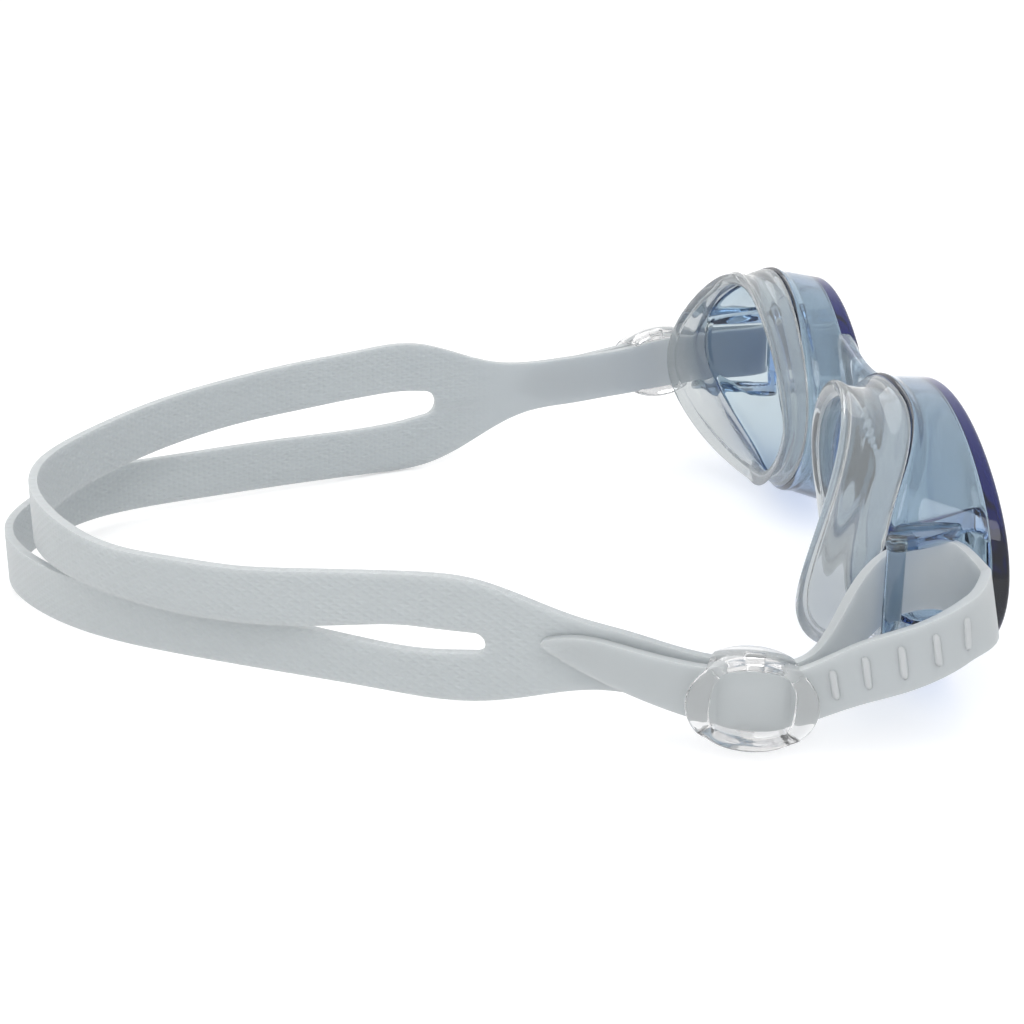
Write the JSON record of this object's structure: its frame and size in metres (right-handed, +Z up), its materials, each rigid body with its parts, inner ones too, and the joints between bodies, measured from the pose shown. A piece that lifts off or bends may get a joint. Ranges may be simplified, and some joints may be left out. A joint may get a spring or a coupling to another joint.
{
  "type": "swim goggles",
  "caption": "Swim goggles with one-piece blue-tinted lens cups, clear soft face seals, a nose bridge, a split head strap and sliding strap buckles.",
  "frame": {"origin": "on the midline, on the plane of the lens fronts, at the height of the lens centres", "axes": "+Z up, -Y out of the lens fronts, +X towards the wearer's left; the strap runs back along +Y"},
  "size_m": [0.1496, 0.1479, 0.0443],
  "materials": {
    "tinted_lens": "polished",
    "clear_seal": "satin",
    "clear_bridge": "gloss",
    "frosted_strap": "matt",
    "clear_buckle": "gloss"
  },
  "bodies": {
    "cups": {"lens_left": "tinted_lens", "lens_right": "tinted_lens", "seal_left": "clear_seal", "seal_right": "clear_seal", "nose_bridge": "clear_bridge"},
    "strap": {"strap": "frosted_strap"},
    "buckle_left": {"buckle_left": "clear_buckle"},
    "buckle_right": {"buckle_right": "clear_buckle"}
  },
  "joints": [
    {"name": "strap_tilt", "type": "hinge", "parent": "cups", "child": "strap", "pos_m": [0, 0.017, 0.0008], "axis": [1, 0, 0], "range_deg": [-5, 8]},
    {"name": "buckle_left_slide", "type": "slide", "parent": "strap", "child": "buckle_left", "axis": [-0.1184, 0.9859, -0.1184], "range_m": [0, 0.008]},
    {"name": "buckle_right_slide", "type": "slide", "parent": "strap", "child": "buckle_right", "axis": [0.1178, 0.9821, 0.1473], "range_m": [0, 0.003]}
  ]
}
